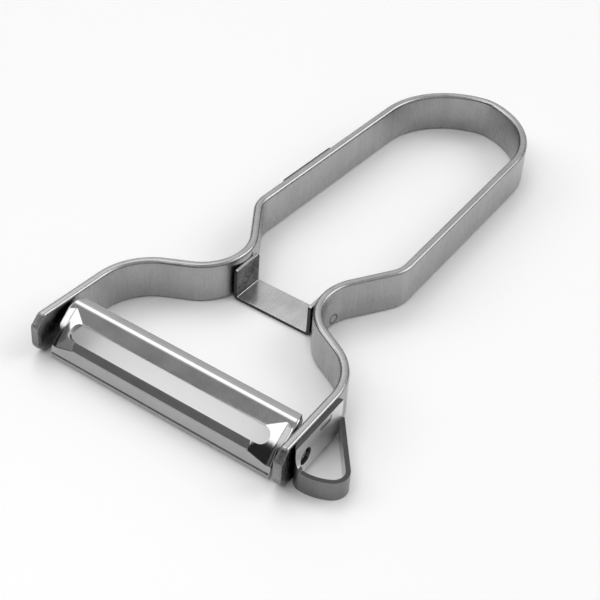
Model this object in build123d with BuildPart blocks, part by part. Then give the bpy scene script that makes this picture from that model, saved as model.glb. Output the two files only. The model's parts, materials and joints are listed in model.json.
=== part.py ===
from build123d import *
from math import cos, radians, sin, tan
import os

# A swivel peeler: one bent steel strip makes the handle, the neck and the two arms.
# A U-shaped brace ties the neck, a slotted blade swings between the arms on two rivets,
# and a small loop beside the right arm cuts out potato eyes.
# The peeler lies flat: X runs across, +Y towards the handle, +Z up from the table.
# The origin is on the table, under the brace, where the neck is narrowest.

os.makedirs("parts", exist_ok=True)

# Strip
strip_height = 10.0
strip_thickness = 2.0
strip_edge_chamfer = 0.35

# Route of the strip's middle line, from the neck back to the crown of the handle
neck_half_width = 11.18
neck_radius = 12.0
waist_angle = 32.1
waist_bend_radius = 8.2
handle_side_length = 50.35
handle_side_taper = 1.96
loop_radius = 20.2
crown_radius = 8.3
crown_angle = 11.4

# Route from the neck forward to the nose of an arm
arm_spread_angle = 61.9
shoulder_share = 0.763
arm_flare = 2.6
arm_length = 20.3
arm_side_clearance = 0.53
nose_chamfer = 2.3
nose_corner_radius = 1.0

# Brace between the two sides of the neck
brace_width = 8.2
brace_height = 8.0
brace_sheet = 0.85
brace_fold_radius = 0.3
brace_corner_radius = 0.6
brace_setback = 0.6

# Pivot of the blade
pivot_setback = 7.3
pivot_height = 4.9
pin_radius = 1.0
pin_running_clearance = 0.05
pin_fixed_clearance = 0.02
rivet_head_radius = 1.55
rivet_head_height = 0.4
rivet_head_chamfer = 0.2
peened_end_radius = 1.35
peened_end_length = 0.6
peened_end_chamfer = 0.2
peened_end_clearance = 0.15

# Blade, seen in section with its chord through the pivot
blade_length = 58.2
blade_sheet = 0.7
blade_rest_angle = 39.3
crown_rise = 2.9
crown_front_reach = 4.3
crown_rear_reach = 1.45
crest_reach = 4.6
rear_bar_slope = 14.6
flange_angle = 44.0
crest_radius = 2.2
shoulder_edge_radius = 0.8
dish_length = 6.1
dish_drop = 0.97
end_edge_radius = 0.8
end_corner_chamfer = 1.1
ear_radius = 2.6
ear_base_width = 9.6
ear_base_height = 0.65

# Cutting lip along the front of the slot, and the hem along the front foot
bevel_width = 2.05
bevel_angle = 17.6
lip_end_margin = 6.55
lip_root_depth = 0.6
slot_end_margin = 3.7
hem_reach = 7.7
hem_rise = 0.85
hem_end_height = 0.68

# Loop beside the right arm that cuts out eyes
eye_sheet = 1.0
eye_plate_top = 9.5
eye_plate_foot = 1.0
eye_plate_rear = 13.4
eye_plate_front = 1.7
eye_loop_height = 4.7
eye_curl_radius = 2.2
eye_curl_angle = 85.0
eye_front_radius = 10.4
eye_front_angle = 35.0
eye_outer_radius = 3.0
eye_return_angle = 36.2
eye_drop_radius = 3.2
eye_hole_clearance = 0.35
weld_dimple_length = 4.4
weld_dimple_height = 1.7
weld_dimple_depth = 0.25
weld_dimple_setback = 7.0
weld_dimple_margin = 0.3

# Blank plate on the outer face of the left side of the handle
plate_length = 18.6
plate_height = 8.0
plate_thickness = 0.3
plate_top = 9.6
plate_setback = 8.1
plate_corner_radius = 0.5

# Cutting tools run past what they cut by this much
overrun = 2.0

half_strip = strip_thickness / 2
waist = radians(waist_angle)
taper = radians(handle_side_taper)
crown_turn = radians(crown_angle)
spread = radians(arm_spread_angle)
flare = radians(arm_flare)

# The middle of an arm at the pivot and at the nose, clear of the end of the blade
blade_half = blade_length / 2
arm_middle = blade_half + arm_side_clearance + half_strip / cos(flare)
arm_half_span = arm_middle + pivot_setback * tan(flare)

# The straight runs that close the route across the handle and out to the arms
crown_half_width = loop_radius * (cos(taper) - sin(crown_turn)) + crown_radius * sin(crown_turn)
widest_half_width = crown_half_width + handle_side_length * sin(taper)
waist_start = neck_half_width + neck_radius * (1 - cos(waist))
waist_end = widest_half_width - waist_bend_radius * (cos(taper) - cos(waist))
waist_length = (waist_end - waist_start) / sin(waist)

shoulder_half_span = arm_half_span - arm_length * sin(flare)
shoulder_radius = shoulder_share * (shoulder_half_span - neck_half_width)
spread_start = neck_half_width + neck_radius * (1 - cos(spread))
spread_end = shoulder_half_span - shoulder_radius * (cos(flare) - cos(spread))
spread_length = (spread_end - spread_start) / sin(spread)

waist_rise = neck_radius * sin(waist) + waist_length * cos(waist)
bend_rise = waist_bend_radius * (sin(waist) + sin(taper))
side_start = waist_rise + bend_rise
side_end = side_start + handle_side_length * cos(taper)
back = side_end + loop_radius * (cos(crown_turn) - sin(taper)) + crown_radius * (1 - cos(crown_turn))

shoulder_reach = shoulder_radius * (sin(spread) - sin(flare))
spread_reach = neck_radius * sin(spread) + spread_length * cos(spread)
nose = -(spread_reach + shoulder_reach + arm_length * cos(flare))

# The pivot, and the outer face of an arm beside it
pivot_y = nose + pivot_setback
arm_outer = arm_middle + half_strip / cos(flare)

# Handle, neck and arms: half the route is swept and mirrored, then the noses are trimmed
with BuildPart() as frame_band:
    with BuildLine() as half_route:
        crown = JernArc((0, back), (1, 0), crown_radius, -crown_angle)
        loop = JernArc(crown @ 1, crown % 1, loop_radius, crown_angle + handle_side_taper - 90)
        side = PolarLine(loop @ 1, handle_side_length, direction=loop % 1)
        bend = JernArc(side @ 1, side % 1, waist_bend_radius, -waist_angle - handle_side_taper)
        waist_run = PolarLine(bend @ 1, waist_length, direction=bend % 1)
        neck = JernArc(waist_run @ 1, waist_run % 1, neck_radius, waist_angle + arm_spread_angle)
        spread_run = PolarLine(neck @ 1, spread_length, direction=neck % 1)
        shoulder = JernArc(spread_run @ 1, spread_run % 1, shoulder_radius, arm_flare - arm_spread_angle)
        PolarLine(shoulder @ 1, arm_length + overrun, direction=shoulder % 1)
    with BuildSketch(Plane.YZ) as strip_section:
        with Locations((back, strip_height / 2)):
            Rectangle(strip_thickness, strip_height)
        chamfer(strip_section.vertices(), strip_edge_chamfer)
    sweep(path=half_route.wire())
    mirror(about=Plane.YZ)
    with BuildSketch(Plane.YZ) as side_view:
        with Locations((nose, 0)):
            Rectangle(back + strip_thickness - nose, strip_height, align=(Align.MIN, Align.MIN))
        chamfer(side_view.vertices().group_by(Axis.X)[0], nose_chamfer)
        fillet(side_view.vertices().group_by(Axis.X)[0:2], nose_corner_radius)
    extrude(amount=arm_half_span + strip_thickness, both=True, mode=Mode.INTERSECT)
    with BuildSketch(Plane.YZ) as pin_holes:
        with Locations((pivot_y, pivot_height)):
            Circle(pin_radius + pin_fixed_clearance)
    extrude(amount=arm_half_span + strip_thickness, both=True, mode=Mode.SUBTRACT)
frame_band.part.label = "frame_band"
export_step(frame_band.part, "parts/frame_band.step")

# Brace: a folded strip whose flanges stand against the neck
brace_half_width = neck_half_width - half_strip
with BuildPart() as cross_brace:
    with BuildSketch(Plane.XZ.offset(brace_setback)) as brace_section:
        Rectangle(2 * brace_half_width, brace_height, align=(Align.CENTER, Align.MIN))
        fillet(brace_section.vertices().group_by(Axis.Y)[0], brace_fold_radius + brace_sheet)
        with BuildSketch(mode=Mode.PRIVATE) as brace_inside:
            with Locations((0, brace_sheet)):
                Rectangle(2 * (brace_half_width - brace_sheet), brace_height, align=(Align.CENTER, Align.MIN))
            fillet(brace_inside.vertices().group_by(Axis.Y)[0], brace_fold_radius)
        add(brace_inside.sketch, mode=Mode.SUBTRACT)
    extrude(amount=brace_width / 2, both=True)
    flange_corners = cross_brace.edges().filter_by(Axis.X).group_by(Axis.Z)[-1]
    fillet(flange_corners, brace_corner_radius)
cross_brace.part.label = "cross_brace"
export_step(cross_brace.part, "parts/cross_brace.step")

# Blade: section plane across it, long plane along it, and slot plane flat on its crown
blade_angle = radians(blade_rest_angle)
pivot = (0, pivot_y, pivot_height)
section_plane = Plane(pivot, x_dir=(0, cos(blade_angle), sin(blade_angle)), z_dir=(1, 0, 0))
long_plane = Plane(pivot, x_dir=(1, 0, 0), z_dir=(0, -cos(blade_angle), -sin(blade_angle)))
slot_plane = Plane(pivot, x_dir=(1, 0, 0), z_dir=(0, -sin(blade_angle), cos(blade_angle)))

flange = radians(flange_angle)
crest_height = crown_rise - (crest_reach - crown_rear_reach) * tan(radians(rear_bar_slope))
rear_reach = crest_reach + crest_height / tan(flange)
lip_half = blade_half - lip_end_margin


# Outline of the blade's outer faces in section, closed at the given depth under the chord
def channel_outline(depth):
    front_foot = crown_front_reach + (crown_rise + depth) / tan(flange)
    rear_foot = crest_reach + (crest_height + depth) / tan(flange)
    return [
        (-front_foot, -depth),
        (-crown_front_reach, crown_rise),
        (crown_rear_reach, crown_rise),
        (crest_reach, crest_height),
        (rear_foot, -depth),
    ]


# Outline of the blade's top and ends seen from the front, where the ends are dished down
def draw_long_outline(depth):
    flat_half = blade_half - dish_length
    end_height = crown_rise - dish_drop
    flat = Line((-flat_half, crown_rise), (flat_half, crown_rise))
    right_dish = TangentArc(flat @ 1, (blade_half, end_height), tangent=(1, 0))
    left_dish = TangentArc(flat @ 0, (-blade_half, end_height), tangent=(-1, 0))
    Polyline(right_dish @ 1, (blade_half, -depth), (-blade_half, -depth), left_dish @ 1)


cavity_depth = blade_sheet + overrun
with BuildPart() as blade_cavity:
    with BuildSketch(section_plane):
        Polygon(*channel_outline(cavity_depth), align=None)
        offset(amount=-blade_sheet, kind=Kind.INTERSECTION)
    extrude(amount=blade_half, both=True)
    with BuildSketch(long_plane):
        with BuildLine():
            draw_long_outline(cavity_depth)
        make_face()
        offset(amount=-blade_sheet, kind=Kind.INTERSECTION)
    extrude(amount=hem_reach, both=True, mode=Mode.INTERSECT)

# The front bar rises into a lip, ground on its outer face; its points follow the flange's slope
slope = Vector(cos(flange), sin(flange))
inward = Vector(sin(flange), -cos(flange))
shoulder_point = Vector(-crown_front_reach, crown_rise)
bevel_run = bevel_width * cos(radians(bevel_angle))
bevel_depth = bevel_width * sin(radians(bevel_angle))
edge_point = shoulder_point + slope * bevel_run + inward * bevel_depth
land_point = shoulder_point + slope * bevel_run + inward * blade_sheet
outer_root = shoulder_point - slope * lip_root_depth
inner_root = outer_root + inward * blade_sheet
slot_front = land_point.X
slot_middle = (slot_front + crown_rear_reach) / 2
hem_start = -crown_front_reach - (crown_rise - hem_rise) / tan(flange)

with BuildPart() as swivel_blade:
    with BuildSketch(section_plane) as channel:
        Polygon(*channel_outline(0), align=None)
        fillet(channel.vertices().sort_by(Axis.X)[1], shoulder_edge_radius)
        fillet(channel.vertices().sort_by(Axis.X)[-2], crest_radius)
    extrude(amount=blade_half, both=True)
    with BuildSketch(long_plane) as long_view:
        with BuildLine():
            draw_long_outline(0)
        make_face()
        fillet(long_view.vertices().group_by(Axis.Y)[1], end_edge_radius)
    extrude(amount=hem_reach, both=True, mode=Mode.INTERSECT)
    with BuildSketch(section_plane):
        hem_points = [(-hem_reach, 0), (-hem_reach, hem_end_height), (hem_start, hem_rise), (hem_start, 0)]
        Polygon(*hem_points, align=None)
    extrude(amount=blade_half - end_edge_radius, both=True)
    with BuildSketch(slot_plane) as plan_view:
        with Locations((0, -hem_reach)):
            Rectangle(blade_length, hem_reach + rear_reach, align=(Align.CENTER, Align.MIN))
        chamfer(plan_view.vertices(), end_corner_chamfer)
    extrude(amount=crown_rise + overrun, mode=Mode.INTERSECT)
    add(blade_cavity.part, mode=Mode.SUBTRACT)
    with BuildSketch(section_plane):
        clearing = [inner_root, land_point, (slot_middle, land_point.Y), (slot_middle, inner_root.Y)]
        Polygon(*clearing, align=None)
    extrude(amount=lip_half, both=True, mode=Mode.SUBTRACT)
    with BuildSketch(section_plane):
        Polygon(outer_root, shoulder_point, edge_point, land_point, inner_root, align=None)
    extrude(amount=lip_half, both=True)
    with BuildSketch(slot_plane):
        with Locations((0, slot_middle)):
            SlotOverall(blade_length - 2 * slot_end_margin, crown_rear_reach - slot_front)
    extrude(amount=crown_rise + overrun, mode=Mode.SUBTRACT)
    for end_plane in (section_plane.offset(blade_half), section_plane.offset(blade_sheet - blade_half)):
        with BuildSketch(end_plane):
            Circle(ear_radius)
            with Locations((0, ear_base_height)):
                Rectangle(ear_base_width, ear_base_height)
            make_hull()
        extrude(amount=-blade_sheet)
    with BuildSketch(section_plane):
        Circle(pin_radius + pin_running_clearance)
    extrude(amount=blade_half, both=True, mode=Mode.SUBTRACT)
swivel_blade.part.label = "swivel_blade"
export_step(swivel_blade.part, "parts/swivel_blade.step")

# Rivets: the pin follows the pivot's axis, and the head lies square on the arm's outer face
pin_end = blade_half - blade_sheet - peened_end_clearance - peened_end_length
head_plane = Plane((arm_outer, pivot_y, pivot_height), x_dir=(0, 0, 1), z_dir=(cos(flare), sin(flare), 0))
with BuildPart() as pivot_rivet_right:
    with BuildSketch(Plane.YZ.offset(pin_end)):
        with Locations((pivot_y, pivot_height)):
            Circle(pin_radius)
    extrude(amount=arm_outer - pin_end)
    with BuildSketch(Plane.YZ.offset(pin_end)):
        with Locations((pivot_y, pivot_height)):
            Circle(peened_end_radius)
    extrude(amount=peened_end_length)
    chamfer(pivot_rivet_right.faces().sort_by(Axis.X)[0].edges(), peened_end_chamfer)
    with BuildSketch(head_plane):
        Circle(rivet_head_radius)
    extrude(amount=rivet_head_height)
    chamfer(pivot_rivet_right.faces().sort_by(Axis.X)[-1].edges(), rivet_head_chamfer)
pivot_rivet_right.part.label = "pivot_rivet_right"
export_step(pivot_rivet_right.part, "parts/pivot_rivet_right.step")

with BuildPart() as pivot_rivet_left:
    mirror(pivot_rivet_right.part, about=Plane.YZ)
pivot_rivet_left.part.label = "pivot_rivet_left"
export_step(pivot_rivet_left.part, "parts/pivot_rivet_left.step")

# Eye remover: local X runs forward along the right arm's outer face, local Y points away from it
eye_plane = Plane((arm_outer, pivot_y, 0), x_dir=(sin(flare), -cos(flare), 0), z_dir=(0, 0, 1))
half_eye = eye_sheet / 2
with BuildPart() as eye_remover:
    with BuildSketch(eye_plane):
        with BuildLine() as plate_route:
            plate_run = Line((-eye_plate_rear, half_eye), (eye_plate_front, half_eye))
            curl = JernArc(plate_run @ 1, (1, 0), eye_curl_radius, eye_curl_angle)
        trace(line_width=eye_sheet)
    extrude(amount=eye_plate_top)
    with BuildSketch(eye_plane):
        with Locations((-eye_plate_rear, 0)):
            Rectangle(eye_plate_rear + eye_plate_front, eye_sheet, align=(Align.MIN, Align.MIN))
    extrude(amount=eye_plate_foot, mode=Mode.SUBTRACT)
    with BuildSketch(Plane(eye_plane.origin, x_dir=eye_plane.y_dir, z_dir=eye_plane.x_dir)):
        with BuildLine():
            drop_foot = (eye_sheet + eye_drop_radius, eye_loop_height)
            drop_top = (eye_sheet, eye_loop_height + eye_drop_radius)
            drop = TangentArc(drop_top, drop_foot, tangent=(0, -1))
            clear_reach = eye_sheet + eye_drop_radius + overrun
            clear_top = eye_plate_top + overrun
            clearance_corners = [(clear_reach, eye_loop_height), (clear_reach, clear_top), (eye_sheet, clear_top)]
            Polyline(drop @ 1, *clearance_corners, drop @ 0)
        make_face()
    extrude(amount=eye_plate_rear, both=True, mode=Mode.SUBTRACT)
    with BuildSketch(eye_plane):
        with BuildLine() as loop_route:
            loop_curl = JernArc((eye_plate_front, half_eye), (1, 0), eye_curl_radius, eye_curl_angle)
            front_arc = JernArc(loop_curl @ 1, loop_curl % 1, eye_front_radius, eye_front_angle)
            outer_turn = 180 + eye_return_angle - eye_curl_angle - eye_front_angle
            outer_arc = JernArc(front_arc @ 1, front_arc % 1, eye_outer_radius, outer_turn)
            return_length = ((outer_arc @ 1).Y - eye_sheet) / sin(radians(eye_return_angle))
            PolarLine(outer_arc @ 1, return_length, direction=outer_arc % 1)
        trace(line_width=eye_sheet)
    extrude(amount=eye_loop_height)
    with BuildSketch(head_plane):
        Circle(rivet_head_radius + eye_hole_clearance)
    extrude(amount=eye_sheet, mode=Mode.SUBTRACT)
    dimple_height = eye_plate_top - weld_dimple_margin - weld_dimple_height / 2
    dimple_plane = Plane(eye_plane.origin, x_dir=-eye_plane.x_dir, z_dir=eye_plane.y_dir)
    with BuildSketch(dimple_plane.offset(eye_sheet)):
        with Locations((weld_dimple_setback, dimple_height)):
            SlotOverall(weld_dimple_length, weld_dimple_height)
    extrude(amount=-weld_dimple_depth, mode=Mode.SUBTRACT)
eye_remover.part.label = "eye_remover"
export_step(eye_remover.part, "parts/eye_remover.step")

# Blank plate: local X runs forward along the left side of the handle, local Y points up
side_face = -(widest_half_width + half_strip / cos(taper))
plate_normal = (-cos(taper), sin(taper), 0)
plate_plane = Plane((side_face, side_start, 0), x_dir=(-sin(taper), -cos(taper), 0), z_dir=plate_normal)
with BuildPart() as label_plate:
    with BuildSketch(plate_plane):
        with Locations((-plate_setback - plate_length / 2, plate_top - plate_height / 2)):
            RectangleRounded(plate_length, plate_height, plate_corner_radius)
    extrude(amount=plate_thickness)
label_plate.part.label = "label_plate"
export_step(label_plate.part, "parts/label_plate.step")
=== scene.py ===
import json
import math

import bmesh
import bpy
from mathutils import Matrix, Vector


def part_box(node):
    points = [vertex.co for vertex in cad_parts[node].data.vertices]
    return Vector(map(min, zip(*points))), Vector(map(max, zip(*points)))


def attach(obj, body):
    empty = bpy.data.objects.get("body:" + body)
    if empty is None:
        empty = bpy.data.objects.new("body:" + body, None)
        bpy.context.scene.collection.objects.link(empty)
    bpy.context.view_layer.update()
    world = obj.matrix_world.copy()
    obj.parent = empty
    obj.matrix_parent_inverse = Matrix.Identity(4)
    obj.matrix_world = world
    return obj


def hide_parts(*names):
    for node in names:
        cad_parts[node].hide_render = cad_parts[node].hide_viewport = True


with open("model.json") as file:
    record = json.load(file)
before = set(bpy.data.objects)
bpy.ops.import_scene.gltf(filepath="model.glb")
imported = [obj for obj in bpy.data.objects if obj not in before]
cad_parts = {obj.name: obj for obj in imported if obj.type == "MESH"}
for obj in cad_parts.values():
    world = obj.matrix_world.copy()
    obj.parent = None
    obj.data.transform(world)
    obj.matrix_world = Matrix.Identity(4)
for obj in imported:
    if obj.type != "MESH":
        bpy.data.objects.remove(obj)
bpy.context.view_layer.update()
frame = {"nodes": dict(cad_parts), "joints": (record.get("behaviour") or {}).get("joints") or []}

MM = 0.001

# Camera, fitted to the photograph: angles in degrees, lens and sensor in millimetres, lengths in metres
camera_azimuth = 32.625
camera_elevation = 39.82
camera_roll = 4.267
camera_target = Vector((1.58, 4.20, 0.0)) * MM
camera_distance = 328.2 * MM
camera_lens = 88.956
camera_sensor = 36.0
camera_clip = (0.01, 50.0)

# Strip of the handle and the arms, in millimetres and degrees, as the solid has it
strip_height = 10.0
strip_thickness = 2.0
neck_half_width = 11.18
neck_radius = 12.0
waist_angle = 32.1
waist_bend_radius = 8.2
handle_side_length = 50.35
handle_side_taper = 1.96
loop_radius = 20.2
crown_radius = 8.3
crown_angle = 11.4
arm_spread_angle = 61.9
shoulder_share = 0.763
arm_flare = 2.6
arm_length = 20.3
arm_side_clearance = 0.53
pivot_setback = 7.3
blade_length = 58.2
nose_chamfer = 2.3
nose_corner_radius = 1.0

# Rounding of the strip's edges, the half width left flat between two of them, the distance that keeps its ends
# inside the solid, and steps of its mesh
strip_edge_radius = 0.7
nose_edge_radius = 0.35
least_half_flat = 0.05
nose_set_in = 0.03
arc_step = 2.5
corner_steps = 5

# Blade in section, in millimetres and degrees: along runs back on the chord through the pivot, out stands on it. Its
# crest is 0.8 farther back than the solid's.
blade_sheet = 0.7
blade_rest_angle = 39.3
pivot_height = 4.9
crown_rise = 2.9
crown_front_reach = 4.3
crown_rear_reach = 1.45
crest_reach = 5.4
rear_bar_slope = 14.6
flange_angle = 44.0
crest_radius = 2.2
shoulder_edge_radius = 0.8
rear_foot_reach = 6.753
bevel_width = 2.05
bevel_angle = 17.6
lip_end_margin = 6.55
slot_end_margin = 3.7

# Rolled hem along the blade's lower edge: its tip, its root on the front flange, its slope, and both roundings
hem_reach = 7.15
hem_drop = 0.41
hem_root_reach = 6.0
hem_angle = 22.5
hem_roll_radius = 0.5
hem_root_radius = 3.0

# Ears folded down from the blade's ends; the fold takes no more than a share of the ear's depth
end_fold_radius = 0.5
fold_share = 0.45
least_fold_depth = 0.1
ear_radius = 2.6
ear_half_base = 4.36
least_ear = 0.02

# Facets pressed into the blade's ends. Both fall outward by end_slope and past the rim rise by end_rim_slope. The
# rear one falls backward from the crown, the front one rises backward from front_facet_drop under it.
end_slope = 0.15
end_rim_reach = 3.5
end_rim_slope = 0.10
rear_facet_slope = 0.05
front_facet_slope = 0.15
front_facet_drop = 0.30
facet_blend = 0.25

# Inset of the blade's end from its greatest length, at places along the chord
end_insets = (
    (-7.7, 1.0), (-6.4, 0.8), (-4.0, 0.8), (-1.9, 1.0), (-0.4, 0.1), (2.0, 0.0), (4.0, 0.1), (5.4, 0.4), (6.8, 1.2),
)

# Steps of the blade's mesh
hem_roll_steps = 6
hem_root_steps = 8
flange_steps = 5
shoulder_steps = 6
crown_steps = 6
slot_steps = 14
rear_bar_steps = 12
crest_steps = 8
foot_steps = 5
lead_steps = 4
end_steps = 24
fold_steps = 6
ear_shares = (0.35, 0.7, 1.0)

# The last columns of the blade's ends get thinner where the ear is shallow
thin_columns = 12
thin_depth = 0.5
thin_least = 0.04

# Rounded edges, in millimetres and degrees, and cleaning of the copies of the solid's pieces
soft_segments = 3
soft_angle = 28.0
lip_rounding = 0.04
lip_segments = 2
lip_angle = 10.0
merge_distance = 0.002
flat_angle = 0.6
normal_weight = 80

# Least share of a face's normal that lies along a way it is said to face
facing_share = 0.7
arm_side_share = 0.95
nose_share = 0.3

# Steels: noise scales in cycles per metre, the coarse grain's scale and the strengths as shares of the grain's
grain_scale = 3000.0
coarse_share = 0.13
cloud_scale = 180.0
speck_scale = 2600.0
coarse_strength = 0.8
speck_strength = 0.5
roughness_swing = 0.15
roughness_clouds = 0.08
noise_low = 0.3
noise_high = 0.7

# Painted shade on the arms round the pivots, beside the blade: reach and wander in millimetres, its core and its tone
# as shares
pivot = Vector(frame["joints"][0]["pos_m"])
pivot_shade_reach = 7.5
pivot_shade_core = 0.4
pivot_shade_wander = 1.5
pivot_shade_tone = 0.08

# Dark rings of the spot welds: radius, distances off it where the ring is full and where it ends, and wander, in
# millimetres, then its tone as a share. They are outside on the neck and inside on the brace's flanges.
brace_sheet = 0.85
weld_radius = 1.2
ring_core = 0.05
ring_reach = 0.35
ring_wander = 0.2
ring_tone = 0.3
neck_outside = neck_half_width + strip_thickness / 2
flange_inside = neck_half_width - strip_thickness / 2 - brace_sheet
neck_welds = [(side * neck_outside, 1.3, 2.3) for side in (1, -1)]
flange_welds = [(side * flange_inside, -0.5, 5.3) for side in (1, -1)]

# Floor, its half size in metres
floor_reach = 12.0
floor_shade = 0.94
floor_roughness = 0.35

# Soft boxes of the world: direction, angle inside which it is full, angle where it ends, and radiance
soft_boxes = (
    ((-0.44, 0.28, 0.855), 2, 25, 2.1),
    ((-0.41, 0.80, 0.45), 10, 40, 0.50),
    ((-0.76, -0.28, 0.587), 10, 20, 2.3),
    ((-0.20, -0.44, 0.875), 10, 19, 2.4),
    ((0.50, 0.60, 0.63), 10, 26, 2.5),
    ((0.85, -0.10, 0.50), 20, 70, 0.20),
    ((-0.25, -0.76, 0.60), 12, 28, -0.36),
    ((-0.43, -0.15, 0.89), 6, 18, -0.14),
)

# Radiance of the world low and high, and the two heights of a direction between which it changes
world_low = 0.05
world_high = 0.38
world_low_height = 0.10
world_high_height = 0.40


def place_camera():
    azimuth = math.radians(camera_azimuth)
    elevation = math.radians(camera_elevation)
    roll = math.radians(camera_roll)
    forward = Vector((
        -math.sin(azimuth) * math.cos(elevation),
        math.cos(azimuth) * math.cos(elevation),
        -math.sin(elevation),
    ))
    level_right = Vector((math.cos(azimuth), math.sin(azimuth), 0.0))
    level_up = level_right.cross(forward)
    right = math.cos(roll) * level_right + math.sin(roll) * level_up
    up = math.cos(roll) * level_up - math.sin(roll) * level_right
    data = bpy.data.cameras.new("camera")
    data.lens = camera_lens
    data.sensor_width = camera_sensor
    data.clip_start, data.clip_end = camera_clip
    camera = bpy.data.objects.new("camera", data)
    bpy.context.scene.collection.objects.link(camera)
    turn = Matrix((right, up, -forward)).transposed().to_4x4()
    camera.matrix_world = Matrix.Translation(camera_target - camera_distance * forward) @ turn
    bpy.context.scene.camera = camera


# ---------------------------------------------------------------- node helpers

def node_material(name):
    material = bpy.data.materials.new(name)
    material.use_nodes = True
    return material, material.node_tree


def add_node(tree, kind, inputs, **settings):
    """A node with its settings; each input is a socket to link or a value to set."""
    node = tree.nodes.new(kind)
    for key, value in settings.items():
        setattr(node, key, value)
    for key, value in inputs.items():
        if isinstance(value, bpy.types.NodeSocket):
            tree.links.new(value, node.inputs[key])
        else:
            node.inputs[key].default_value = value
    return node


def math_node(tree, operation, *values):
    return add_node(tree, "ShaderNodeMath", dict(enumerate(values)), operation=operation).outputs[0]


def vector_node(tree, operation, first, second):
    return add_node(tree, "ShaderNodeVectorMath", {0: first, 1: second}, operation=operation).outputs["Value"]


def scaled(tree, vector, scale):
    return add_node(tree, "ShaderNodeMapping", {"Vector": vector, "Scale": scale}).outputs[0]


def noise(tree, vector, scale, stretch=(1, 1, 1), detail=2.0, roughness=0.5):
    inputs = {"Vector": scaled(tree, vector, stretch), "Scale": scale, "Detail": detail, "Roughness": roughness}
    return add_node(tree, "ShaderNodeTexNoise", inputs).outputs["Fac"]


def ramp(tree, value, start, end, low, high, kind="SMOOTHSTEP"):
    """Carries a value from the range start to end over to the range low to high, and holds it beyond."""
    inputs = {"Value": value, "From Min": start, "From Max": end, "To Min": low, "To Max": high}
    return add_node(tree, "ShaderNodeMapRange", inputs, interpolation_type=kind).outputs[0]


def spread(tree, value, low, high):
    """Carries a noise value to the range from low to high."""
    return ramp(tree, value, noise_low, noise_high, low, high, "LINEAR")


def sway(tree, value, reach):
    """Carries a noise value to the range of this reach on both sides of zero."""
    return spread(tree, value, -reach, reach)


# ---------------------------------------------------------------- materials

def paint_pivot_shade(tree, tone, position, cloud):
    """The tone, darkened round the line through the pivots: painted shade."""
    gap = vector_node(tree, "DISTANCE", scaled(tree, position, (0, 1, 1)), (0, pivot.y, pivot_height * MM))
    gap = math_node(tree, "ADD", gap, sway(tree, cloud, pivot_shade_wander * MM))
    left = ramp(tree, gap, pivot_shade_core * pivot_shade_reach * MM, pivot_shade_reach * MM, pivot_shade_tone, 1.0)
    return math_node(tree, "MULTIPLY", tone, left)


def weld_ring(tree, tone, position, cloud, middle):
    """The tone, darkened along the ring that a spot weld leaves."""
    gap = vector_node(tree, "DISTANCE", position, Vector(middle) * MM)
    gap = math_node(tree, "ADD", gap, sway(tree, cloud, ring_wander * MM))
    off = math_node(tree, "ABSOLUTE", math_node(tree, "SUBTRACT", gap, weld_radius * MM))
    left = ramp(tree, off, ring_core * MM, ring_reach * MM, ring_tone, 1.0)
    return math_node(tree, "MULTIPLY", tone, left)


def steel(
    name, shade, roughness, grain, stretch=(1, 1, 1), scale=grain_scale, depth=0.004, blotch=0.06, uv=False,
    pivot_shaded=False, welds=()
):
    """Stainless steel: fine and coarse grain that may be stretched along one way, slow clouds, specks, a bump of the
    fine grain of a depth in millimetres and, where asked for, painted shade round the pivots and the rings of welds."""
    material, tree = node_material(name)
    shader = tree.nodes["Principled BSDF"]
    coordinates = add_node(tree, "ShaderNodeTexCoord", {}).outputs
    position = coordinates["Object"]
    surface = coordinates["UV"] if uv else position
    fine = noise(tree, surface, scale, stretch, detail=3.0, roughness=0.6)
    coarse = noise(tree, surface, scale * coarse_share, stretch)
    cloud = noise(tree, position, cloud_scale, detail=3.0)
    speck = noise(tree, position, speck_scale, detail=1.0)
    tone = sway(tree, fine, grain)
    for value, reach in ((coarse, grain * coarse_strength), (cloud, blotch), (speck, grain * speck_strength)):
        tone = math_node(tree, "ADD", tone, sway(tree, value, reach))
    tone = math_node(tree, "MULTIPLY_ADD", tone, shade, shade)
    # Painted shade round the pivots
    if pivot_shaded:
        tone = paint_pivot_shade(tree, tone, position, cloud)
    for middle in welds:
        tone = weld_ring(tree, tone, position, cloud, middle)
    colour = add_node(tree, "ShaderNodeCombineColor", {"Red": tone, "Green": tone, "Blue": tone})
    tree.links.new(colour.outputs[0], shader.inputs["Base Color"])
    shader.inputs["Metallic"].default_value = 1.0
    swing = spread(tree, fine, roughness * (1 - roughness_swing), roughness * (1 + roughness_swing))
    rough = math_node(tree, "ADD", swing, sway(tree, cloud, roughness_clouds * roughness))
    tree.links.new(rough, shader.inputs["Roughness"])
    bump = add_node(tree, "ShaderNodeBump", {"Height": fine, "Distance": depth * MM, "Strength": 1.0})
    tree.links.new(bump.outputs[0], shader.inputs["Normal"])
    return material


# ---------------------------------------------------------------- mesh helpers

def mesh_from(form, name):
    mesh = bpy.data.meshes.new(name)
    form.to_mesh(mesh)
    form.free()
    return mesh


def new_object(name, mesh, material, body):
    piece = bpy.data.objects.new(name, mesh)
    bpy.context.scene.collection.objects.link(piece)
    mesh.materials.clear()
    mesh.materials.append(material)
    for polygon in mesh.polygons:
        polygon.use_smooth = True
    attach(piece, body)
    return piece


def round_edges(piece, radius, segments, sharp):
    bevel = piece.modifiers.new("edges", "BEVEL")
    bevel.width = radius * MM
    bevel.segments = segments
    bevel.limit_method = "ANGLE"
    bevel.angle_limit = math.radians(sharp)


def weight_normals(piece):
    modifier = piece.modifiers.new("normals", "WEIGHTED_NORMAL")
    modifier.keep_sharp = True
    modifier.weight = normal_weight


def facing(axis):
    """A test of a face: whether it looks along this axis, one way or the other."""
    return lambda face: abs(face.normal[axis]) > facing_share


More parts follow.
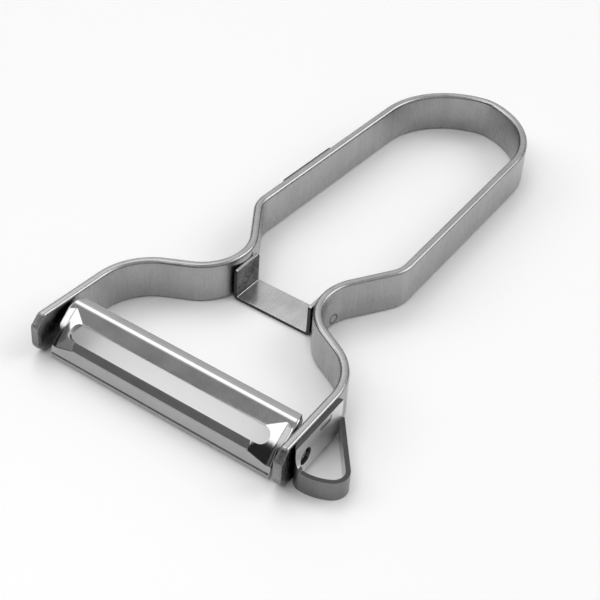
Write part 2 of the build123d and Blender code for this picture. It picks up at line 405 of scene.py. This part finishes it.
def soften(node, radius, material, others=()):
    """Stands for a CAD node of the frame with the same faces, its sharp edges rounded by a radius in millimetres;
    others are (material, test of a face)."""
    mesh = frame["nodes"][node].data.copy()
    mesh.name = node + "_soft"
    form = bmesh.new()
    form.from_mesh(mesh)
    bmesh.ops.remove_doubles(form, verts=form.verts, dist=merge_distance * MM)
    bmesh.ops.dissolve_limit(form, angle_limit=math.radians(flat_angle), verts=form.verts, edges=form.edges)
    form.to_mesh(mesh)
    form.free()
    for name in ("custom_normal", "sharp_edge", "sharp_face"):
        attribute = mesh.attributes.get(name)
        if attribute is not None:
            mesh.attributes.remove(attribute)
    piece = new_object(node + "_soft", mesh, material, "frame")
    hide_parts(node)
    for index, (other, takes) in enumerate(others):
        mesh.materials.append(other)
        for polygon in mesh.polygons:
            if takes(polygon):
                polygon.material_index = index + 1
    round_edges(piece, radius, soft_segments, soft_angle)
    weight_normals(piece)


# ---------------------------------------------------------------- strip

def ahead(heading):
    return Vector((math.cos(heading), math.sin(heading)))


def beside(heading):
    """Direction a quarter turn to the left of a heading."""
    return Vector((-math.sin(heading), math.cos(heading)))


def arc(place, heading, radius, turn):
    """Points and headings along an arc that turns by an angle in degrees."""
    count = max(1, math.ceil(abs(turn) / arc_step))
    reach = radius if turn > 0 else -radius
    centre = place + reach * beside(heading)
    points = []
    for index in range(1, count + 1):
        angle = heading + math.radians(turn) * index / count
        points.append((centre - reach * beside(angle), angle))
    return points


def run(place, heading, length):
    """End and heading of a straight length."""
    return [(place + length * ahead(heading), heading)]


def strip_route():
    """Middle line of the right half of the strip, from the crown of the handle to the end of the arm."""
    waist, taper = math.radians(waist_angle), math.radians(handle_side_taper)
    crown_turn, spread_turn = math.radians(crown_angle), math.radians(arm_spread_angle)
    flare = math.radians(arm_flare)
    arm_middle = blade_length / 2 + arm_side_clearance + strip_thickness / 2 / math.cos(flare)
    arm_half_span = arm_middle + pivot_setback * math.tan(flare)
    crown_half_width = loop_radius * (math.cos(taper) - math.sin(crown_turn)) + crown_radius * math.sin(crown_turn)
    widest_half_width = crown_half_width + handle_side_length * math.sin(taper)
    waist_start = neck_half_width + neck_radius * (1 - math.cos(waist))
    waist_end = widest_half_width - waist_bend_radius * (math.cos(taper) - math.cos(waist))
    waist_length = (waist_end - waist_start) / math.sin(waist)
    shoulder_half_span = arm_half_span - arm_length * math.sin(flare)
    shoulder_radius = shoulder_share * (shoulder_half_span - neck_half_width)
    spread_start = neck_half_width + neck_radius * (1 - math.cos(spread_turn))
    spread_end = shoulder_half_span - shoulder_radius * (math.cos(flare) - math.cos(spread_turn))
    spread_length = (spread_end - spread_start) / math.sin(spread_turn)
    side_start = (
        neck_radius * math.sin(waist)
        + waist_length * math.cos(waist)
        + waist_bend_radius * (math.sin(waist) + math.sin(taper))
    )
    side_end = side_start + handle_side_length * math.cos(taper)
    loop_depth = loop_radius * (math.cos(crown_turn) - math.sin(taper))
    back = side_end + loop_depth + crown_radius * (1 - math.cos(crown_turn))
    route = [(Vector((0.0, back)), 0.0)]
    for make, *sizes in (
        (arc, crown_radius, -crown_angle),
        (arc, loop_radius, crown_angle + handle_side_taper - 90),
        (run, handle_side_length),
        (arc, waist_bend_radius, -waist_angle - handle_side_taper),
        (run, waist_length),
        (arc, neck_radius, waist_angle + arm_spread_angle),
        (run, spread_length),
        (arc, shoulder_radius, arm_flare - arm_spread_angle),
        (run, arm_length),
    ):
        place, heading = route[-1]
        route += make(place, heading, *sizes)
    return route


def corner_points(corner, before, after, radius, count):
    """A rounded corner between two directions, as points from the first side to the second."""
    first, second = (before - corner).normalized(), (after - corner).normalized()
    half = first.angle(second) / 2
    reach = radius / math.tan(half)
    centre = corner + (first + second).normalized() * radius / math.sin(half)
    start, end = corner + first * reach - centre, corner + second * reach - centre
    turn = start.angle_signed(end)
    return [centre + Matrix.Rotation(-turn * index / count, 2) @ start for index in range(count + 1)]


def nose_profile():
    """(distance back from the nose, height taken off top and bottom) along the end of an arm."""
    places = ((0.0, strip_height / 2), (0.0, nose_chamfer), (nose_chamfer, 0.0), (strip_height, 0.0))
    outline = [Vector(place) for place in places]
    points = []
    for before, corner, after in zip(outline, outline[1:], outline[2:]):
        points += corner_points(corner, before, after, nose_corner_radius, corner_steps)
    return points


def strip_section(half_width, low, high, radius):
    """Rounded rectangle as (across, up) points, anticlockwise from the lower right corner."""
    points = []
    for across, up, start in ((1, 0, -90), (1, 1, 0), (-1, 1, 90), (-1, 0, 180)):
        centre_across = across * (half_width - radius)
        centre_up = high - radius if up else low + radius
        for index in range(corner_steps + 1):
            angle = math.radians(start + 90 * index / corner_steps)
            points.append((centre_across + radius * math.cos(angle), centre_up + radius * math.sin(angle)))
    return points


def strip_stations():
    """(place, heading, half width, low, high, edge radius) from the left nose round to the right one."""
    half = strip_thickness / 2
    route = strip_route()
    nose, heading = route[-1]
    right = [(place, angle, half, 0.0, strip_height, strip_edge_radius) for place, angle in route[:-1]]
    for distance, cut in reversed(nose_profile()):
        shrink = max(0.0, nose_edge_radius - distance)
        inset = nose_edge_radius - math.sqrt(max(0.0, nose_edge_radius ** 2 - shrink ** 2))
        place = nose - (distance + nose_set_in) * ahead(heading)
        radius = min(strip_edge_radius, half - inset - least_half_flat)
        right.append((place, heading, half - inset, cut + inset, strip_height - cut - inset, radius))
    left = [(Vector((-place.x, place.y)), -angle, *section) for place, angle, *section in right[1:]]
    return left[::-1] + right


def build_band(material, pivot_shaded, nose_shade):
    """The strip as one tube of rounded sections, with its grain laid out along it and round it."""
    stations = strip_stations()
    form = bmesh.new()
    uv_layer = form.loops.layers.uv.new("grain")
    rings, distances, travelled = [], [], 0.0
    for index, (place, heading, half, low, high, radius) in enumerate(stations):
        if index:
            last_place, last_high = stations[index - 1][0], stations[index - 1][4]
            travelled += math.hypot((place - last_place).length, high - last_high)
        distances.append(travelled)
        ring = []
        for across, up in strip_section(half, low, high, radius):
            spot = place + across * beside(heading)
            ring.append(form.verts.new((spot.x * MM, spot.y * MM, up * MM)))
        rings.append(ring)
    size = len(rings[0])
    girth = [0.0]
    for index in range(size):
        girth.append(girth[-1] + (rings[0][index].co - rings[0][(index + 1) % size].co).length / MM)
    for row in range(len(rings) - 1):
        for index in range(size):
            corners = ((row, index), (row, index + 1), (row + 1, index + 1), (row + 1, index))
            face = form.faces.new([rings[line][column % size] for line, column in corners])
            for loop, (line, column) in zip(face.loops, corners):
                loop[uv_layer].uv = (distances[line] * MM, girth[column] * MM)
    form.faces.new(rings[0][::-1])
    form.faces.new(rings[-1])
    bmesh.ops.recalc_face_normals(form, faces=form.faces)
    mesh = mesh_from(form, "band")
    band = new_object("band", mesh, material, "frame")
    mesh.materials.append(pivot_shaded)
    mesh.materials.append(nose_shade)
    # Sides of the arms near the pivots take the painted shade round the pivots, the end faces of the noses a darker
    # steel of painted shade
    for polygon in mesh.polygons:
        if abs(polygon.normal.x) > arm_side_share and polygon.center.y < pivot.y + pivot_shade_reach * MM:
            polygon.material_index = 1
        elif polygon.normal.y < -nose_share and polygon.center.y < pivot.y:
            polygon.material_index = 2
    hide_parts("frame_band")
    weight_normals(band)


# ---------------------------------------------------------------- blade

def blade_spot(across, along, out):
    """A point of the blade, given in millimetres across, along the chord and out of it, in the frame."""
    angle = math.radians(blade_rest_angle)
    return pivot + Vector((
        across,
        along * math.cos(angle) - out * math.sin(angle),
        along * math.sin(angle) + out * math.cos(angle),
    )) * MM


def lip_points():
    """Section of the cutting lip: root, shoulder, edge, land and inner root."""
    flange = math.radians(flange_angle)
    bevel = math.radians(bevel_angle)
    slope = Vector((math.cos(flange), math.sin(flange)))
    inward = Vector((math.sin(flange), -math.cos(flange)))
    shoulder = Vector((-crown_front_reach, crown_rise))
    edge = shoulder + slope * bevel_width * math.cos(bevel) + inward * bevel_width * math.sin(bevel)
    land = shoulder + slope * bevel_width * math.cos(bevel) + inward * blade_sheet
    root = shoulder - slope * shoulder_edge_radius * math.tan(flange / 2)
    return [root, shoulder, edge, land, root + inward * blade_sheet]


def between(first, last, count):
    """The inner points of a straight line cut in equal steps."""
    return [first.lerp(last, index / count) for index in range(1, count)]


def slot_arc_start():
    """Distance from the middle at which the slot's ends start to curve."""
    return blade_length / 2 - slot_end_margin - (crown_rear_reach - lip_points()[3].x) / 2


def blade_rows():
    """Rows of the sheet from hem to rear foot: (spot, starts of the end's grid), and the middle's two runs of rows."""
    flange = math.radians(flange_angle)
    crest_height = crown_rise - (crest_reach - crown_rear_reach) * math.tan(math.radians(rear_bar_slope))
    tip = Vector((-hem_reach, -hem_drop))
    hem_root = Vector((-hem_root_reach, crown_rise - (hem_root_reach - crown_front_reach) * math.tan(flange)))
    hem_fall = (hem_reach - hem_root_reach) * math.tan(math.radians(hem_angle))
    hem_corner = Vector((-hem_reach, hem_root.y - hem_fall))
    shoulder = Vector((-crown_front_reach, crown_rise))
    ridge = Vector((crown_rear_reach, crown_rise))
    crest = Vector((crest_reach, crest_height))
    foot = Vector((rear_foot_reach, 0.0))
    slot_front = Vector((lip_points()[3].x, crown_rise))
    radius = (crown_rear_reach - slot_front.x) / 2
    middle = (crown_rear_reach + slot_front.x) / 2
    lip_half = blade_length / 2 - lip_end_margin
    arc_start = slot_arc_start()
    lip_starts = [lip_half + (arc_start - lip_half) * index / lead_steps for index in range(lead_steps + 1)]

    front = [tip] + corner_points(hem_corner, tip, hem_root, hem_roll_radius, hem_roll_steps)
    front += corner_points(hem_root, hem_corner, shoulder, hem_root_radius, hem_root_steps)
    rounded = corner_points(shoulder, hem_root, ridge, shoulder_edge_radius, shoulder_steps)
    front += between(front[-1], rounded[0], flange_steps) + rounded[:1]
    crown = rounded[1:] + between(rounded[-1], slot_front, crown_steps) + [slot_front]
    rows = [(spot, lip_starts) for spot in front + crown]
    for index in range(1, slot_steps):
        angle = math.pi * index / slot_steps
        rows.append((Vector((middle - radius * math.cos(angle), crown_rise)), [arc_start + radius * math.sin(angle)]))
    rounded = corner_points(crest, ridge, foot, crest_radius, crest_steps)
    rear = [ridge] + between(ridge, rounded[0], rear_bar_steps) + rounded
    rear += between(rounded[-1], foot, foot_steps) + [foot]
    rows += [(spot, [arc_start]) for spot in rear]
    return rows, (0, len(front)), (len(rows) - len(rear), len(rows))


def end_reach(along):
    """How far out the sheet's end stands at a place along the chord."""
    for (low, first), (high, last) in zip(end_insets, end_insets[1:]):
        if along <= high:
            share = max(0.0, (along - low) / (high - low))
            share = share * share * (3 - 2 * share)
            return blade_length / 2 - first - (last - first) * share
    return blade_length / 2 - last


def pressed(across, along, out):
    """Height of the sheet's outer side where its ends are pressed down into two facets."""
    beyond = across - slot_arc_start()
    fall = end_slope * beyond - (end_slope + end_rim_slope) * max(0.0, beyond - end_rim_reach)
    rear = crown_rise - fall - rear_facet_slope * (along - crown_rear_reach)
    front = crown_rise - front_facet_drop - fall + front_facet_slope * (along + crown_front_reach)
    mix = min(1.0, max(0.0, 0.5 + (front - rear) / (2 * facet_blend)))
    facet = front + (rear - front) * mix - facet_blend * mix * (1 - mix)
    return min(out, facet)


def ear_bottom(along):
    """Lower outline of the ear at a place along the chord: round at the pivot, with straight flanks."""
    lean = math.acos(ear_radius / ear_half_base)
    touch = Vector((math.cos(lean), -math.sin(lean))) * ear_radius
    if abs(along) < touch.x:
        return -math.sqrt(ear_radius ** 2 - along ** 2)
    return min(-least_ear, touch.y * (ear_half_base - abs(along)) / (ear_half_base - touch.x))


def end_line(along, out, starts):
    """Points (across, out) of one row, from its starts over the folded end to the bottom of the ear."""
    end, low = end_reach(along), ear_bottom(along)
    fold = min(end_fold_radius, fold_share * max(least_fold_depth, out - low))
    start = starts[-1]
    places = starts[:-1] + [start + (end - fold - start) * index / end_steps for index in range(end_steps + 1)]
    line = [(across, pressed(across, along, out)) for across in places]
    across, top = line[-1]
    for index in range(1, fold_steps + 1):
        angle = math.pi / 2 * index / fold_steps
        line.append((across + fold * math.sin(angle), top - fold * (1 - math.cos(angle))))
    low = min(low, top - fold - least_ear)
    return line + [(end, (top - fold) * (1 - share) + low * share) for share in ear_shares]


def sheet_face(form, row, corners):
    """A face of the blade; the rows of the hem's roll get the second material, a painted highlight."""
    form.faces.new(corners).material_index = int(row <= hem_roll_steps)


def blade_end(form, side, rows):
    """One end of the sheet as a grid of points; two rows are joined where both have columns, counted from the ear."""
    grid = [
        [form.verts.new(blade_spot(side * across, spot.x, out)) for across, out in end_line(spot.x, spot.y, starts)]
        for spot, starts in rows
    ]
    for row, (lower, upper) in enumerate(zip(grid, grid[1:])):
        for index in range(-min(len(lower), len(upper)), -1):
            sheet_face(form, row, (lower[index], lower[index + 1], upper[index + 1], upper[index]))
    return grid


def thickness_share(spot):
    """Share of the sheet's thickness beside the ear, so that a shallow ear isn't thicker than it is deep."""
    depth = spot.y - ear_bottom(spot.x)
    return min(1.0, max(thin_least, depth - thin_depth))


def build_blade(material, hem_highlight):
    """The sheet as its outer side, thickened inward: two ends, and the middle's strips before and behind the slot."""
    rows, *middles = blade_rows()
    form = bmesh.new()
    left, right = (blade_end(form, side, rows) for side in (-1, 1))
    for first, last in middles:
        for row in range(first, last - 1):
            sheet_face(form, row, (left[row][0], right[row][0], right[row + 1][0], left[row + 1][0]))
    bmesh.ops.recalc_face_normals(form, faces=form.faces)
    if sum(face.normal.z * face.calc_area() for face in form.faces) < 0:
        bmesh.ops.reverse_faces(form, faces=form.faces)
    for edge in form.edges:
        edge.smooth = not edge.is_boundary
    form.verts.index_update()
    shares = [
        (vertex.index, thickness_share(spot))
        for grid in (left, right)
        for line, (spot, starts) in zip(grid, rows)
        for vertex in line[-thin_columns:]
    ]
    mesh = mesh_from(form, "blade_sheet")
    blade = new_object("blade_sheet", mesh, material, "blade")
    mesh.materials.append(hem_highlight)
    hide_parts("swivel_blade")
    group = blade.vertex_groups.new(name="thickness")
    group.add(range(len(mesh.vertices)), 1.0, "REPLACE")
    for index, share in shares:
        group.add([index], share, "REPLACE")
    sheet = blade.modifiers.new("sheet", "SOLIDIFY")
    sheet.vertex_group = "thickness"
    sheet.thickness = blade_sheet * MM
    sheet.offset = -1
    sheet.use_even_offset = False


def build_lip(material, ground):
    """The cutting lip as a bar of one section; its second face is the ground bevel."""
    half = blade_length / 2 - lip_end_margin
    form = bmesh.new()
    left, right = (
        [form.verts.new(blade_spot(across, point.x, point.y)) for point in lip_points()] for across in (-half, half)
    )
    for index in range(len(left)):
        after = (index + 1) % len(left)
        form.faces.new((left[index], left[after], right[after], right[index]))
    form.faces.new(left[::-1])
    form.faces.new(right)
    bmesh.ops.recalc_face_normals(form, faces=form.faces)
    mesh = mesh_from(form, "cutting_lip")
    lip = new_object("cutting_lip", mesh, material, "blade")
    mesh.materials.append(ground)
    mesh.polygons[1].material_index = 1
    round_edges(lip, lip_rounding, lip_segments, lip_angle)
    weight_normals(lip)


# ---------------------------------------------------------------- stage and light

def build_floor():
    mesh = bpy.data.meshes.new("floor")
    corners = [(across * floor_reach, back * floor_reach, 0) for across, back in ((-1, -1), (1, -1), (1, 1), (-1, 1))]
    mesh.from_pydata(corners, [], [(0, 1, 2, 3)])
    floor = bpy.data.objects.new("floor", mesh)
    bpy.context.scene.collection.objects.link(floor)
    material, tree = node_material("floor")
    shader = tree.nodes["Principled BSDF"]
    shader.inputs["Base Color"].default_value = (floor_shade, floor_shade, floor_shade, 1)
    shader.inputs["Roughness"].default_value = floor_roughness
    mesh.materials.append(material)


def build_world():
    """Light that depends on the direction alone: dim near the horizon, brighter above, with the soft boxes added."""
    world = bpy.data.worlds.new("world")
    bpy.context.scene.world = world
    world.use_nodes = True
    tree = world.node_tree
    direction = add_node(tree, "ShaderNodeTexCoord", {}).outputs["Generated"]
    height = add_node(tree, "ShaderNodeSeparateXYZ", {0: direction}).outputs["Z"]
    total = ramp(tree, height, world_low_height, world_high_height, world_low, world_high)
    for aim, inner, outer, radiance in soft_boxes:
        near = vector_node(tree, "DOT_PRODUCT", direction, Vector(aim).normalized())
        glow = ramp(tree, near, math.cos(math.radians(outer)), math.cos(math.radians(inner)), 0.0, radiance)
        total = math_node(tree, "ADD", glow, total)
    background = tree.nodes["Background"]
    background.inputs["Color"].default_value = (1, 1, 1, 1)
    tree.links.new(total, background.inputs["Strength"])


bpy.context.scene.view_settings.view_transform = "Standard"
place_camera()
build_floor()
build_world()

# Name, shade, roughness and strength of the grain, then its stretch
across_strip = (1, 0.06, 1)
band_steel = steel("band_steel", 0.37, 0.28, 0.04, across_strip, uv=True, welds=neck_welds)
# The band's steel with painted shade round the pivots
pivot_shaded_steel = steel("pivot_shaded_steel", 0.37, 0.28, 0.04, across_strip, uv=True, pivot_shaded=True)
# Darker steel on the end faces of the arms' noses: painted shade
nose_shade_steel = steel("nose_shade_steel", 0.24, 0.38, 0.20, scale=1400.0, blotch=0.20)
brace_steel = steel("brace_steel", 0.40, 0.26, 0.06, (1, 0.2, 0.2))
welded_steel = steel("welded_steel", 0.085, 0.36, 0.6, scale=1100.0, depth=0.03, blotch=0.5, welds=flange_welds)
blade_steel = steel("blade_steel", 0.45, 0.15, 0.03, depth=0.001, blotch=0.02)
# Much lighter steel on the hem's roll: a painted highlight along the blade's lower edge
hem_highlight_steel = steel("hem_highlight_steel", 0.95, 0.35, 0.06, depth=0.001)
ground_steel = steel("ground_steel", 0.21, 0.42, 0.10, (0.05, 1, 1), depth=0.003)
sheared_steel = steel("sheared_steel", 0.07, 0.45, 0.10)
# The eye remover's outer faces in a dark steel and those that look into its loop in a far lighter one: painted shade
# outside, painted light inside
eye_steel = steel("eye_steel", 0.22, 0.34, 0.06, (1, 1, 0.1))
eye_lit_steel = steel("eye_lit_steel", 0.72, 0.42, 0.06)
plain_steel = steel("plain_steel", 0.45, 0.25, 0.05)
dark_steel = steel("dark_steel", 0.02, 0.60, 0.05)

faces_x, faces_y, faces_z = (facing(axis) for axis in range(3))
loop_middle = sum((Vector(corner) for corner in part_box("eye_remover")), Vector((0, 0, 0))) / 2


def faces_loop(face):
    """Whether a face of the eye remover looks to its middle; these faces take the lighter steel of painted light."""
    return face.normal.dot(loop_middle - face.center) > 0


build_band(band_steel, pivot_shaded_steel, nose_shade_steel)
soften("cross_brace", 0.15, brace_steel, ((welded_steel, faces_x), (sheared_steel, faces_y)))
build_blade(blade_steel, hem_highlight_steel)
build_lip(blade_steel, ground_steel)
soften("eye_remover", 0.15, eye_steel, ((eye_lit_steel, faces_loop), (sheared_steel, faces_z)))
soften("label_plate", 0.05, plain_steel, ((dark_steel, faces_z),))
soften("pivot_rivet_left", 0.1, plain_steel)
soften("pivot_rivet_right", 0.1, plain_steel)
